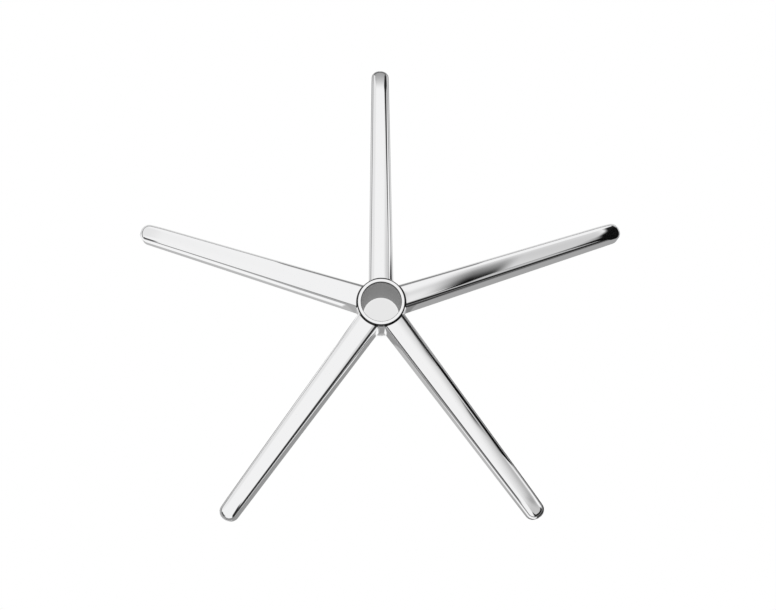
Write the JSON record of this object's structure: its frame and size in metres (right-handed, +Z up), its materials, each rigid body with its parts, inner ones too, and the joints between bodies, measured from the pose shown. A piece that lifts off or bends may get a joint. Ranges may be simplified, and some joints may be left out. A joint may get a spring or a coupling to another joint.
{
  "type": "chair base",
  "caption": "Slim star base for a swivel chair: raised hub rim with a tapered gas spring socket, gently falling crowned arms, rounded tips and caster stem sockets below.",
  "frame": {"origin": "on the hub axis, in the gas spring guide, level with the line where the arms' crowned tops run into the rim", "axes": "+Z up along the hub axis, the way the gas spring leaves; +Y along one arm; millimetres in the source"},
  "size_m": [0.618, 0.5887, 0.078],
  "materials": {
    "polished_aluminium": "mirror polished"
  },
  "bodies": {
    "root": {"star_base": "polished_aluminium"}
  },
  "joints": []
}
